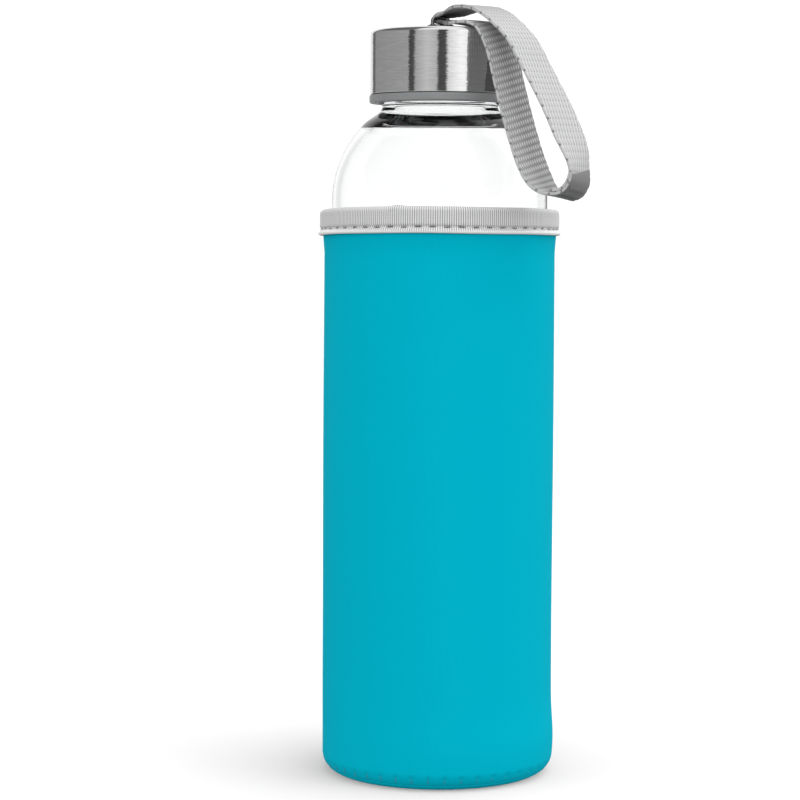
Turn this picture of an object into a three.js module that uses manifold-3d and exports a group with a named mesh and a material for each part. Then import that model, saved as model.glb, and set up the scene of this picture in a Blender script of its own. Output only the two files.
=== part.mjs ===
// Glass water bottle in a foam sleeve, with a steel screw cap and a webbing carrying strap.
// Millimetres, +Z up. The origin is the centre of the sleeve's underside, on the bottle's axis.
// The strap hangs over the cap's rim along +X, and the bar that holds it lies along Y.

import * as THREE from 'three';
import { mergeVertices } from 'three/addons/utils/BufferGeometryUtils.js';
import Module from 'manifold-3d';

const wasm = await Module();
wasm.setup();

// ---------------------------------------------------------------- driving dimensions

const GAP = 0.3;                    // between pieces that rest on or pass through each other

// Glass bottle
const GLASS_RADIUS = 32.6;
const GLASS_WALL = 2.4;
const GLASS_FLOOR = 5;              // thickness of the base at its centre
const GLASS_HEEL = 5;               // outer radius of the bottom corner
const GLASS_PUNT = 1.6;             // rise of the underside at the centre
const PUNT_RADIUS = 22;
const BODY_HEIGHT = 171.6;          // underside to where the round shoulder starts
const NECK_HEIGHT = 17.6;           // top of the shoulder to the sealing lip
const FINISH_RADIUS = 16.9;         // threaded part of the neck, without its thread
const FINISH_WALL = 2.6;
const NECK_PROUD = 0.4;             // foot of the neck past the finish
const LIP_RADIUS = 0.8;             // rounding of the sealing lip
const FLARE_ANGLE = 12;             // degrees of the round shoulder that the neck's flare replaces

// The neck flares into the shoulder: offsets from its foot, up to a low bead under the finish
const NECK_FLARE = [[3.9, -3.1], [2.2, -2], [1.05, -1], [0.45, -0.2], [0.15, 0.6], [0.35, 1], [0.1, 1.6]];
// and the bore opens into the round inside: offsets from where the two would meet
const NECK_FILLET = [[0, 5.6], [0.12, 4.4], [0.6, 3.3], [1.6, 2.4], [3.2, 1.7], [5.2, 0.9], [6.9, 0.2]];
const FILLET_REACH = 7.6;           // bore to the start of the round inside

// Screw thread, one start, right-handed
const THREAD_PITCH = 4.23;
const THREAD_BEAD = 1.2;            // radius of the round thread section
const GLASS_TURNS = 1.4;
const CAP_TURNS = 1.3;
const THREAD_DROP = 5.7;            // sealing lip down to the glass thread's upper end

// Cap
const SHELL_HEIGHT = 19.1;
const SHELL_WALL = 0.5;
const SHELL_CORNER = 1.4;
const THREAD_CLEARANCE = 0.6;       // crest of the glass thread to the insert's bore
const INSERT_WALL = 1.7;
const INSERT_PANEL = 1.5;           // plastic under the rivet pocket
const POCKET_DEPTH = 1.5;
const FLANGE_PROUD = 0.2;           // the plastic ring stands out past the steel
const FLANGE_HEIGHT = 2.4;
const FLANGE_EDGE = 0.5;
const GASKET_HEIGHT = 1.4;
const GASKET_LAP = 1.8;             // how far the gasket reaches in past the glass

// Strap eye, riveted through the cap so that it swivels
const SHANK_RADIUS = 1.5;
const CLINCH_RADIUS = 2.6;
const CLINCH_HEIGHT = 0.4;
const WASHER_RADIUS = 4;
const WASHER_HEIGHT = 0.5;
const BOSS_RADIUS = 4.2;
const BOSS_HEIGHT = 1.5;
const BOSS_EDGE = 0.4;
const BAR_RADIUS = 0.55;
const BAR_CORNER = 1.2;

// Strap
const WEBBING_WIDTH = 12;
const WEBBING_THICKNESS = 1;
const PINCHED_WIDTH = 4.8;          // where it is gathered round the bar
const PINCH_LENGTH = 12;
const STRAP_OVERLAP = 17;           // the two ends lie on each other and are sewn
const OVERLAP_EASE = 22;            // the inner end leaves the outer one over this length
const STRAP_STEPS = 190;
const TACK_START = 9;               // from the outer ply's cut end, along the strap
const TACK_SPACING = 1;
const TACK_ROWS = 7;
const TACK_MARGIN = 1.5;            // stitches to the webbing's edge
const TACK_THREAD = 0.3;            // thread radii
const SEAM_THREAD = 0.3;

// Sleeve
const FOAM = 2.1;
const FOAM_COMPRESSED = 1.6;        // squeezed inside the binding
const SLEEVE_DROP = 3.8;            // start of the bottle's shoulder down to the foam's top edge
const SLEEVE_CORNER = 5.7;
const SEAM_HEIGHT = 4;              // where the base is sewn to the wall
const COLLAR_DROP = 1;              // the squeezed collar starts this far under the binding
const COLLAR_TAPER = 3;
const TAPE = 0.75;                  // binding tape
const TAPE_INNER = 0.5;
const TAPE_SLACK = 0.05;            // inner leg to the foam's inside
const TAPE_OUTER_TURN = 1.2;        // rounding of the folded tape, outside and inside
const TAPE_INNER_TURN = 0.6;
const BINDING_HEIGHT = 7.8;         // outer leg of the binding
const BINDING_INNER_HEIGHT = 6.2;
const STITCH_RISE = 1.8;            // binding's lower edge up to its row of stitches
const STITCH_GROOVE = 0.5;
const SIDE_SEAM_ANGLE = 139;        // degrees from +X
const SIDE_SEAM_LOW = 2;            // stitches start this far over the bottom corner
const SIDE_SEAM_HIGH = 6;           // and stop this far under the binding
const SIDE_SEAM_GROOVE = 0.75;      // radius of the furrow the seam leaves in the foam

const ROUND_SEGMENTS = 36;
const THREAD_SEGMENTS = 30;         // per turn

// ---------------------------------------------------------------- heights and radii that follow

const sleeveInner = GLASS_RADIUS + GAP;
const sleeveOuter = sleeveInner + FOAM;
const neckRadius = FINISH_RADIUS + NECK_PROUD;
const boreRadius = FINISH_RADIUS - FINISH_WALL;
const insertBore = FINISH_RADIUS + THREAD_BEAD + THREAD_CLEARANCE;
const insertOuter = insertBore + INSERT_WALL;
const shellRadius = insertOuter + GAP + SHELL_WALL;
const glassBottom = FOAM + GAP;
const shoulderStart = glassBottom + BODY_HEIGHT;
const shoulderTop = shoulderStart + Math.sqrt(GLASS_RADIUS ** 2 - neckRadius ** 2);
const glassTop = shoulderTop + NECK_HEIGHT;
const gasketBottom = glassTop + GAP;
const gasketTop = gasketBottom + GASKET_HEIGHT;
const panelBottom = gasketTop + GAP;
const pocketFloor = panelBottom + INSERT_PANEL;
const insertTop = pocketFloor + POCKET_DEPTH;
const shellUnderside = insertTop + GAP;
const capTop = shellUnderside + SHELL_WALL;
const shellBottom = capTop - SHELL_HEIGHT;
const flangeTop = shellBottom - GAP;
const flangeBottom = flangeTop - FLANGE_HEIGHT;
const threadTop = glassTop - THREAD_DROP;
const holeRadius = SHANK_RADIUS + GAP;
const pocketRadius = WASHER_RADIUS + 4 * GAP;
const bossBottom = capTop + GAP;
const bossTop = bossBottom + BOSS_HEIGHT;
const foldRadius = BAR_RADIUS + GAP + WEBBING_THICKNESS / 2;
const barHeight = bossTop + GAP + WEBBING_THICKNESS / 2 + foldRadius;
const postPlace = PINCHED_WIDTH / 2 + GAP + BAR_RADIUS;
const sleeveHeight = shoulderStart - SLEEVE_DROP;
const collarInner = sleeveInner + TAPE_SLACK + TAPE_INNER + GAP;
const collarOuter = collarInner + FOAM_COMPRESSED;
const bindingInner = collarInner - GAP - TAPE_INNER;
const bindingOuter = collarOuter + GAP + TAPE;
const bindingTop = sleeveHeight + GAP + TAPE;
const bindingBottom = bindingTop - BINDING_HEIGHT;
const stitchHeight = bindingBottom + STITCH_RISE;
const collarStart = bindingBottom - COLLAR_DROP;

// ---------------------------------------------------------------- helpers

const radians = THREE.MathUtils.degToRad;
const degrees = THREE.MathUtils.radToDeg;

/** Points [r, z] of an arc, by its centre, radius and angles in degrees from +r towards +z. */
function arc(r, z, radius, from, to, steps) {
  const points = [];
  for (let i = 0; i <= steps; i++) {
    const angle = radians(from + (to - from) * i / steps);
    points.push([r + radius * Math.cos(angle), z + radius * Math.sin(angle)]);
  }
  return points;
}

/** Solid of revolution about Z from [r, z] points that run anticlockwise, axis to axis. */
function revolve(profile) {
  const points = profile.map(([r, z]) => new THREE.Vector2(r, z));
  return new THREE.LatheGeometry(points, ROUND_SEGMENTS).rotateX(Math.PI / 2);
}

/** Ring about Z, from a closed outline that stays clear of the axis. */
function revolveRing(outline) {
  return revolve([...outline, outline[0]]);
}

/** Round rod along a curve. */
function rod(curve, radius, steps, sides = 8) {
  const section = new THREE.Shape().absarc(0, 0, radius, 0, 2 * Math.PI);
  return new THREE.ExtrudeGeometry(section, { steps, curveSegments: sides, extrudePath: curve });
}

/** three.js geometry to a manifold solid. */
function toSolid(geometry) {
  const bare = geometry.clone();
  for (const name of ['normal', 'uv']) bare.deleteAttribute(name);
  const merged = mergeVertices(bare, 1e-4);
  const index = merged.index.array;
  const triangles = [];
  for (let i = 0; i < index.length; i += 3) {
    const [a, b, c] = [index[i], index[i + 1], index[i + 2]];
    if (a !== b && b !== c && c !== a) triangles.push(a, b, c);
  }
  return new wasm.Manifold(new wasm.Mesh({
    numProp: 3,
    vertProperties: new Float32Array(merged.attributes.position.array),
    triVerts: new Uint32Array(triangles),
  }));
}

/** Manifold solid to three.js geometry. */
function toGeometry(solid) {
  const mesh = solid.getMesh();
  const geometry = new THREE.BufferGeometry();
  geometry.setAttribute('position', new THREE.BufferAttribute(mesh.vertProperties, 3));
  geometry.setIndex(new THREE.BufferAttribute(mesh.triVerts, 1));
  geometry.computeVertexNormals();
  return geometry;
}

/** A line or quadratic curve run from its end to its start. */
function reversed(curve) {
  const other = curve.clone();
  if (curve.isLineCurve3) [other.v1, other.v2] = [curve.v2, curve.v1];
  else [other.v0, other.v2] = [curve.v2, curve.v0];
  return other;
}

/** One solid from several that overlap. */
function join(...geometries) {
  return toGeometry(geometries.map(toSolid).reduce((whole, piece) => whole.add(piece)));
}

/** A solid without what the tool covers. */
function cut(geometry, tool) {
  return toGeometry(toSolid(geometry).subtract(toSolid(tool)));
}

/** Share of a thread's length over which each of its ends runs out into the wall. */
const RUN_OUT = 0.12;

/** Helix about Z whose ends move radially by endShift. */
class ThreadCurve extends THREE.Curve {
  constructor(radius, topHeight, turns, endShift) {
    super();
    Object.assign(this, { radius, topHeight, turns, endShift });
  }

  getPoint(t) {
    const fromEnd = Math.min(t, 1 - t) / RUN_OUT;
    const shift = fromEnd < 1 ? this.endShift * (1 - fromEnd) ** 2 : 0;
    const angle = 2 * Math.PI * this.turns * (t - 1);
    const r = this.radius + shift;
    const z = this.topHeight + THREAD_PITCH * this.turns * (t - 1);
    return new THREE.Vector3(r * Math.cos(angle), r * Math.sin(angle), z);
  }
}

// ---------------------------------------------------------------- glass bottle

function glassBottle() {
  const heelCentre = glassBottom + GLASS_HEEL;
  const flareStart = degrees(Math.acos(neckRadius / GLASS_RADIUS)) - FLARE_ANGLE;
  const innerRadius = GLASS_RADIUS - GLASS_WALL;
  const filletEnd = boreRadius + FILLET_REACH;
  const filletFoot = shoulderStart + Math.sqrt(innerRadius ** 2 - filletEnd ** 2);
  const innerEnd = degrees(Math.acos(filletEnd / innerRadius));
  const innerHeel = GLASS_HEEL + GLASS_WALL;
  const floor = glassBottom + GLASS_PUNT + GLASS_FLOOR;
  const profile = [
    [0, glassBottom + GLASS_PUNT],
    [PUNT_RADIUS * 0.6, glassBottom + GLASS_PUNT * 0.7],
    [PUNT_RADIUS, glassBottom],
    ...arc(GLASS_RADIUS - GLASS_HEEL, heelCentre, GLASS_HEEL, -90, 0, 4),
    ...arc(0, shoulderStart, GLASS_RADIUS, 0, flareStart, 8),
    ...NECK_FLARE.map(([r, z]) => [neckRadius + r, shoulderTop + z]),
    ...arc(FINISH_RADIUS - LIP_RADIUS, glassTop - LIP_RADIUS, LIP_RADIUS, 0, 90, 3),
    ...arc(boreRadius + LIP_RADIUS, glassTop - LIP_RADIUS, LIP_RADIUS, 90, 180, 3),
    ...NECK_FILLET.map(([r, z]) => [boreRadius + r, filletFoot + z]),
    ...arc(0, shoulderStart, innerRadius, innerEnd, 0, 6),
    ...arc(innerRadius - innerHeel, floor + innerHeel, innerHeel, 0, -90, 4),
    [0, floor],
  ];
  const thread = new ThreadCurve(FINISH_RADIUS, threadTop, GLASS_TURNS, -THREAD_BEAD * 1.1);
  const threadSteps = Math.round(THREAD_SEGMENTS * GLASS_TURNS);
  return join(revolve(profile), rod(thread, THREAD_BEAD, threadSteps));
}

// ---------------------------------------------------------------- cap

/** Cap corner: the steel's outside, its inside and the plastic under it share one centre. */
function capCorner(radius) {
  return arc(shellRadius - SHELL_CORNER, capTop - SHELL_CORNER, radius, 0, 90, 4);
}

/** Drawn steel cup with a hole for the strap eye's shank. */
function capShell() {
  return revolveRing([
    [shellRadius - SHELL_WALL, shellBottom],
    [shellRadius, shellBottom],
    ...capCorner(SHELL_CORNER),
    [holeRadius, capTop],
    [holeRadius, shellUnderside],
    ...capCorner(SHELL_CORNER - SHELL_WALL).reverse(),
  ]);
}

/** Plastic lining: threaded skirt, panel with the rivet's pocket, and the ring below the steel. */
function capInsert() {
  const flangeRadius = shellRadius + FLANGE_PROUD;
  const body = revolve([
    [0, panelBottom],
    [insertBore, panelBottom],
    [insertBore, flangeBottom],
    [flangeRadius - FLANGE_EDGE, flangeBottom],
    [flangeRadius, flangeBottom + FLANGE_EDGE],
    [flangeRadius, flangeTop],
    [insertOuter, flangeTop],
    ...capCorner(SHELL_CORNER - SHELL_WALL - GAP),
    [pocketRadius, insertTop],
    [pocketRadius, pocketFloor],
    [0, pocketFloor],
  ]);
  const threadRadius = insertBore - GAP / 3;
  const top = threadTop + THREAD_PITCH / 2;
  const thread = new ThreadCurve(threadRadius, top, CAP_TURNS, GAP);
  return join(body, rod(thread, THREAD_BEAD, Math.round(THREAD_SEGMENTS * CAP_TURNS)));
}

function sealGasket() {
  const outer = insertBore - GAP;
  const inner = boreRadius - GASKET_LAP;
  return revolveRing([
    [inner, gasketBottom],
    [outer, gasketBottom],
    [outer, gasketTop],
    [inner, gasketTop],
  ]);
}

function backingWasher() {
  const top = shellUnderside - GAP;
  return revolveRing([
    [holeRadius, top - WASHER_HEIGHT],
    [WASHER_RADIUS, top - WASHER_HEIGHT],
    [WASHER_RADIUS, top],
    [holeRadius, top],
  ]);
}

// ---------------------------------------------------------------- strap eye

/** Round boss on a clinched shank, with a wire bail for the webbing. */
function strapEye() {
  const clinchTop = shellUnderside - WASHER_HEIGHT - 2 * GAP;
  const boss = revolve([
    [0, clinchTop - CLINCH_HEIGHT],
    [CLINCH_RADIUS, clinchTop - CLINCH_HEIGHT],
    [CLINCH_RADIUS, clinchTop],
    [SHANK_RADIUS, clinchTop],
    [SHANK_RADIUS, bossBottom],
    [BOSS_RADIUS, bossBottom],
    [BOSS_RADIUS, bossTop - BOSS_EDGE],
    [BOSS_RADIUS - BOSS_EDGE, bossTop],
    [0, bossTop],
  ]);

  const bend = postPlace - BAR_CORNER;
  const bendHeight = barHeight - BAR_CORNER;
  const rootHeight = bossTop - BOSS_EDGE;
  const point = (y, z) => new THREE.Vector3(0, y, z);
  const bail = new THREE.CurvePath();
  for (const side of [-1, 1]) {
    const y = side * postPlace;
    const post = new THREE.LineCurve3(point(y, rootHeight), point(y, bendHeight));
    const corner = new THREE.QuadraticBezierCurve3(
      point(y, bendHeight),
      point(y, barHeight),
      point(side * bend, barHeight),
    );
    if (side < 0) bail.curves.push(post, corner);
    else bail.curves.push(reversed(corner), reversed(post));
  }
  bail.curves.splice(2, 0, new THREE.LineCurve3(point(-bend, barHeight), point(bend, barHeight)));
  return join(boss, rod(bail, BAR_RADIUS, 28, 10));
}

// ---------------------------------------------------------------- strap

/** The strap's loop in the XZ plane, as offsets from the top of the cap at its rim. */
const LOWER_LEG = [
  [38, -40.1], [39, -44.1], [38.3, -47.6], [35.7, -50.0], [31.8, -50.7], [27.6, -49.8],
  [23.7, -47.0], [20.8, -42.8], [17.8, -37.4], [13.3, -27.0], [9.4, -16.5], [6.7, -8.7],
  [4, -3.5], [1.2, -0.2], [-2.7, 1.4], [-8.2, 2.0], [-15.2, 2.45],
];
const UPPER_LEG = [
  [-15.2, 5.4], [-8.2, 5.9], [-2.2, 5.3], [3.8, 3.3], [9.8, -0.3], [14.9, -4.5], [20.4, -11.7],
  [25.9, -19.9], [31.2, -27.8], [35.6, -35.4],
];

function strapLoop() {
  const fromRim = ([x, z]) => [shellRadius + x, capTop + z];
  const fold = arc(0, barHeight, foldRadius, -90, -270, 6);
  const points = [...LOWER_LEG.map(fromRim), ...fold, ...UPPER_LEG.map(fromRim)];
  return new THREE.CatmullRomCurve3(points.map(([x, z]) => new THREE.Vector3(x, 0, z)), true);
}

/** Middle of the webbing: once round the loop, then on inside its own first stretch. */
class WebbingCurve extends THREE.Curve {
  constructor() {
    super();
    this.loop = strapLoop();
    this.loop.arcLengthDivisions = 800;
    this.loopLength = this.loop.getLength();
    this.length = this.loopLength + STRAP_OVERLAP;
  }

  getPoint(t) {
    const along = t * this.length;
    const u = (along / this.loopLength) % 1;
    const point = this.loop.getPointAt(u);
    const tangent = this.loop.getTangentAt(u);
    const ease = THREE.MathUtils.smoothstep(along, this.loopLength - OVERLAP_EASE, this.loopLength);
    const inward = ease * (WEBBING_THICKNESS + GAP);
    return point.add(new THREE.Vector3(tangent.z, 0, -tangent.x).multiplyScalar(inward));
  }
}

const webbingCurve = new WebbingCurve();

/** Share of its full width that the webbing keeps at a distance x past the bar. */
function pinch(x) {
  const spread = THREE.MathUtils.smoothstep(x, -1, PINCH_LENGTH);
  return THREE.MathUtils.lerp(PINCHED_WIDTH / WEBBING_WIDTH, 1, spread);
}

function strapWebbing() {
  const [across, through] = [WEBBING_WIDTH / 2, WEBBING_THICKNESS / 2];
  const corners = [[-across, -through], [across, -through], [across, through], [-across, through]];
  const section = new THREE.Shape(corners.map(([x, y]) => new THREE.Vector2(x, y)));
  const band = new THREE.ExtrudeGeometry(section, { steps: STRAP_STEPS, extrudePath: webbingCurve });
  const position = band.attributes.position;
  for (let i = 0; i < position.count; i++) {
    position.setY(i, position.getY(i) * pinch(position.getX(i)));
  }
  return band;
}

/** Zigzag of thread across the outside of the sewn overlap. */
function strapTack() {
  const reach = WEBBING_WIDTH / 2 - TACK_MARGIN;
  const lift = WEBBING_THICKNESS / 2 + GAP + TACK_THREAD;
  const points = [];
  for (let i = 0; i <= TACK_ROWS; i++) {
    const t = (TACK_START + i * TACK_SPACING) / webbingCurve.length;
    const middle = webbingCurve.getPoint(t);
    const tangent = webbingCurve.getTangent(t);
    const outward = new THREE.Vector3(-tangent.z, 0, tangent.x).multiplyScalar(lift);
    points.push(middle.add(outward).setY(i % 2 ? reach : -reach));
  }
  const zigzag = new THREE.CurvePath();
  for (let i = 0; i < TACK_ROWS; i++) zigzag.add(new THREE.LineCurve3(points[i], points[i + 1]));
  return rod(zigzag, TACK_THREAD, TACK_ROWS * 8, 6);
}

// ---------------------------------------------------------------- sleeve

// The base and the wall share one rounded bottom corner and meet on it at the seam.
const cornerCentre = [sleeveOuter - SLEEVE_CORNER, SLEEVE_CORNER];
const innerCorner = SLEEVE_CORNER - FOAM;
const seamAngle = degrees(Math.asin((SEAM_HEIGHT - SLEEVE_CORNER) / SLEEVE_CORNER));
const seamGap = degrees(GAP / 2 / innerCorner);

function sleeveBase() {
  const [r, z] = cornerCentre;
  return revolve([
    [0, 0],
    ...arc(r, z, SLEEVE_CORNER, -90, seamAngle - seamGap, 5),
    ...arc(r, z, innerCorner, seamAngle - seamGap, -90, 5),
    [0, FOAM],
  ]);
}

function sleeveWall() {
  const [r, z] = cornerCentre;
  const wall = revolveRing([
    ...arc(r, z, SLEEVE_CORNER, seamAngle + seamGap, 0, 2),
    [sleeveOuter, collarStart - COLLAR_TAPER],
    [collarOuter, collarStart],
    [collarOuter, sleeveHeight],
    [collarInner, sleeveHeight],
    [collarInner, bindingTop - BINDING_INNER_HEIGHT - GAP],
    [sleeveInner, collarStart - COLLAR_TAPER],
    ...arc(r, z, innerCorner, 0, seamAngle + seamGap, 2),
  ]);
  return cut(wall, uprightRod(SIDE_SEAM_GROOVE, SLEEVE_CORNER, collarStart, 8));
}

/** Tape folded over the rim, with a furrow for its stitches. */
function rimBinding() {
  const outerTurn = [bindingOuter - TAPE_OUTER_TURN, bindingTop - TAPE_OUTER_TURN];
  const innerTurn = [bindingInner + TAPE_INNER_TURN, bindingTop - TAPE_INNER_TURN];
  return revolveRing([
    [bindingOuter - TAPE, bindingBottom],
    [bindingOuter, bindingBottom],
    [bindingOuter, stitchHeight - 2 * STITCH_GROOVE],
    [bindingOuter - STITCH_GROOVE, stitchHeight - STITCH_GROOVE],
    [bindingOuter - STITCH_GROOVE, stitchHeight + STITCH_GROOVE],
    [bindingOuter, stitchHeight + 2 * STITCH_GROOVE],
    ...arc(...outerTurn, TAPE_OUTER_TURN, 0, 90, 3),
    ...arc(...innerTurn, TAPE_INNER_TURN, 90, 180, 2),
    [bindingInner, bindingTop - BINDING_INNER_HEIGHT],
    [bindingInner + TAPE_INNER, bindingTop - BINDING_INNER_HEIGHT],
    [bindingInner + TAPE_INNER, bindingTop - TAPE],
    [bindingOuter - TAPE, bindingTop - TAPE],
  ]);
}

/** Hoop of thread about Z. */
function threadHoop(radius, height) {
  return revolveRing(arc(radius, height, SEAM_THREAD, 0, 300, 5));
}

function rimStitch() {
  return threadHoop(bindingOuter + SEAM_THREAD * 0.4, stitchHeight);
}

function baseStitch() {
  const angle = radians(seamAngle);
  const reach = SLEEVE_CORNER + GAP + SEAM_THREAD;
  const [r, z] = cornerCentre;
  return threadHoop(r + reach * Math.cos(angle), z + reach * Math.sin(angle));
}

/** Upright rod on the line where the foam's ends meet. */
function uprightRod(radius, low, high, sides) {
  const angle = radians(SIDE_SEAM_ANGLE);
  const cylinder = new THREE.CylinderGeometry(radius, radius, high - low, sides).rotateX(Math.PI / 2);
  return cylinder.translate(
    sleeveOuter * Math.cos(angle),
    sleeveOuter * Math.sin(angle),
    (low + high) / 2,
  );
}

function sideStitch() {
  return uprightRod(SEAM_THREAD, SLEEVE_CORNER + SIDE_SEAM_LOW, bindingBottom - SIDE_SEAM_HIGH, 6);
}

// ---------------------------------------------------------------- materials and assembly

const finishes = {
  glass: { color: 0xdfe9e4, roughness: 0.05, metalness: 0, transparent: true, opacity: 0.35 },
  steel: { color: 0xb9bbbd, roughness: 0.35, metalness: 1 },
  plastic: { color: 0x8f9193, roughness: 0.5, metalness: 0 },
  silicone: { color: 0xe4e4e0, roughness: 0.7, metalness: 0 },
  foam: { color: 0x02b1c8, roughness: 0.95, metalness: 0 },
  tape: { color: 0xc4c5c6, roughness: 0.9, metalness: 0 },
  webbing: { color: 0xb6b7b8, roughness: 0.85, metalness: 0 },
  greyThread: { color: 0x8a8c8e, roughness: 0.8, metalness: 0 },
  blueThread: { color: 0x0292aa, roughness: 0.8, metalness: 0 },
};

function piece(name, geometry, finish) {
  const mesh = new THREE.Mesh(geometry, new THREE.MeshStandardMaterial(finishes[finish]));
  mesh.name = name;
  return mesh;
}

const sleeve = new THREE.Group().add(
  piece('sleeve_base', sleeveBase(), 'foam'),
  piece('sleeve_wall', sleeveWall(), 'foam'),
  piece('rim_binding', rimBinding(), 'tape'),
  piece('rim_stitch_thread', rimStitch(), 'greyThread'),
  piece('base_seam_thread', baseStitch(), 'blueThread'),
  piece('side_seam_thread', sideStitch(), 'blueThread'),
);

const strap = new THREE.Group().add(
  piece('strap_webbing', strapWebbing(), 'webbing'),
  piece('strap_tack_thread', strapTack(), 'greyThread'),
);

const cap = new THREE.Group().add(
  piece('cap_shell', capShell(), 'steel'),
  piece('cap_insert', capInsert(), 'plastic'),
  piece('backing_washer', backingWasher(), 'steel'),
  piece('seal_gasket', sealGasket(), 'silicone'),
  piece('strap_eye', strapEye(), 'steel'),
  strap,
);

const bottle = new THREE.Group().add(piece('glass_bottle', glassBottle(), 'glass'), cap);

export default new THREE.Group().add(sleeve, bottle);
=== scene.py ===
"""Glass water bottle in a foam sleeve: fine meshes, materials, floor, light and camera."""

import math

import bmesh
import bpy
import numpy as np
from mathutils import Matrix, Vector


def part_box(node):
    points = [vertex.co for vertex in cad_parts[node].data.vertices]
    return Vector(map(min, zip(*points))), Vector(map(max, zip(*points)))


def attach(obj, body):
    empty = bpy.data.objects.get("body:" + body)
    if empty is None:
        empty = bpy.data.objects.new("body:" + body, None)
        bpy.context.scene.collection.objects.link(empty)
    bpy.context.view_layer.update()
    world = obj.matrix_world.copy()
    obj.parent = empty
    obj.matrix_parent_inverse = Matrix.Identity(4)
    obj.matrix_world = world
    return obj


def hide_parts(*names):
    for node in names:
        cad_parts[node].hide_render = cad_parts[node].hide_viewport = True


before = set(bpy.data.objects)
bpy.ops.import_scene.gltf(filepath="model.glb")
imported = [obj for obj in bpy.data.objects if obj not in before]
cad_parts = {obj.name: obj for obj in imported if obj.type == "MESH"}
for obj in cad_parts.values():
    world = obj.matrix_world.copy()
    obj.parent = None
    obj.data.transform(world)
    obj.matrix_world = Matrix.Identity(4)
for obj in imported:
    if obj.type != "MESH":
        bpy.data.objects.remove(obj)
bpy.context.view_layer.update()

MM = 0.001
TAU = 2 * math.pi

# ---------------------------------------- sizes, in millimetres


def extent(node):
    """A CAD node's outer radius, lowest and highest point, in millimetres."""
    low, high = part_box(node)
    return high.x / MM, low.z / MM, high.z / MM


GLASS_RADIUS, GLASS_BOTTOM, GLASS_TOP = extent("glass_bottle")
GLASS_WALL = 2.4
GLASS_FLOOR = 5.0
GLASS_HEEL = 5.0
GLASS_PUNT = 1.6
PUNT_RADIUS = 22.0
FINISH_RADIUS = 16.9
FINISH_WALL = 2.6
NECK_HEIGHT = 17.6
NECK_RADIUS = FINISH_RADIUS + 0.4
SHOULDER_TOP = GLASS_TOP - NECK_HEIGHT
SHOULDER_START = SHOULDER_TOP - math.sqrt(GLASS_RADIUS**2 - NECK_RADIUS**2)
THREAD_PITCH = 4.23
THREAD_BEAD = 1.2
THREAD_TOP = GLASS_TOP - 5.7
THREAD_START = 0.25  # how far round the thread starts, in turns
GLASS_TURNS = 1.4
CAP_TURNS = 1.3
# (r, z) steps of the flare outside, from the shoulder's top, and of the bore's flare, from its foot
NECK_FLARE = [(3.9, -3.1), (2.2, -2.0), (1.05, -1.0), (0.45, -0.2), (0.15, 0.6), (0.35, 1.0), (0.1, 1.6)]
NECK_FILLET = [(0, 5.6), (0.12, 4.4), (0.6, 3.3), (1.6, 2.4), (3.2, 1.7), (5.2, 0.9), (6.9, 0.2)]
FLARE_ANGLE = 12.0
FILLET_REACH = 7.6

SHELL_RADIUS, SHELL_BOTTOM, CAP_TOP = extent("cap_shell")
SHELL_WALL = 0.5
SHELL_CORNER = 1.4
FLANGE_RADIUS, FLANGE_BOTTOM, INSERT_TOP = extent("cap_insert")
FLANGE_TOP = SHELL_BOTTOM - 0.3
INSERT_BORE = 18.7
INSERT_OUTER = 20.4
PANEL_BOTTOM = INSERT_TOP - 3.0
POCKET_FLOOR = INSERT_TOP - 1.5
POCKET_RADIUS = 5.2

BOSS_RADIUS = 4.2
BOSS_BOTTOM = CAP_TOP + 0.3
BOSS_TOP = BOSS_BOTTOM + 1.5
BAR_RADIUS = 0.55
BAR_HEIGHT = BOSS_TOP + 2.15
POST_PLACE = 3.25
FOLD_RADIUS = 1.35

SLEEVE_RADIUS = 35.0
SLEEVE_CORNER = 5.7
FOAM = 2.1
FOAM_TOP = extent("sleeve_wall")[2]
BINDING_RADIUS, BINDING_BOTTOM, BINDING_TOP = extent("rim_binding")
STITCH_HEIGHT = BINDING_BOTTOM + 1.8

VIEW_AZIMUTH = math.radians(49)  # the camera stands this far round from -Y towards +X
FRONT = math.atan2(-math.cos(VIEW_AZIMUTH), math.sin(VIEW_AZIMUTH))

# ---------------------------------------- mesh helpers


def arc(r, z, radius, start, end, steps):
    """Points of an arc in the (r, z) plane, by centre, radius and angles in degrees."""
    angles = np.radians(np.linspace(start, end, steps + 1))
    return [(r + radius * math.cos(a), z + radius * math.sin(a)) for a in angles]


def line(start, end, steps):
    """Points along a straight stretch, without its first one."""
    start, end = np.array(start), np.array(end)
    return [tuple(start + (end - start) * i / steps) for i in range(1, steps + 1)]


def smooth_line(points, per_span):
    """An open Catmull-Rom curve through (r, z) points, with per_span steps between neighbours."""
    padded = np.array([points[0], *points, points[-1]], float)
    made = []
    for p0, p1, p2, p3 in zip(padded, padded[1:], padded[2:], padded[3:]):
        for t in np.arange(per_span) / per_span:
            slope = (p2 - p0) * t
            bend = (2 * p0 - 5 * p1 + 4 * p2 - p3) * t**2
            twist = (3 * (p1 - p2) + p3 - p0) * t**3
            made.append(tuple(p1 + (slope + bend + twist) / 2))
    return made + [tuple(points[-1])]


def mesh_object(name, vertices, faces, material, smooth=True):
    """A mesh object from points in millimetres."""
    mesh = bpy.data.meshes.new(name)
    mesh.from_pydata((np.asarray(vertices) * MM).tolist(), [], faces)
    mesh.polygons.foreach_set("use_smooth", [smooth] * len(mesh.polygons))
    mesh.materials.append(material)
    made = bpy.data.objects.new(name, mesh)
    bpy.context.collection.objects.link(made)
    return made


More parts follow.
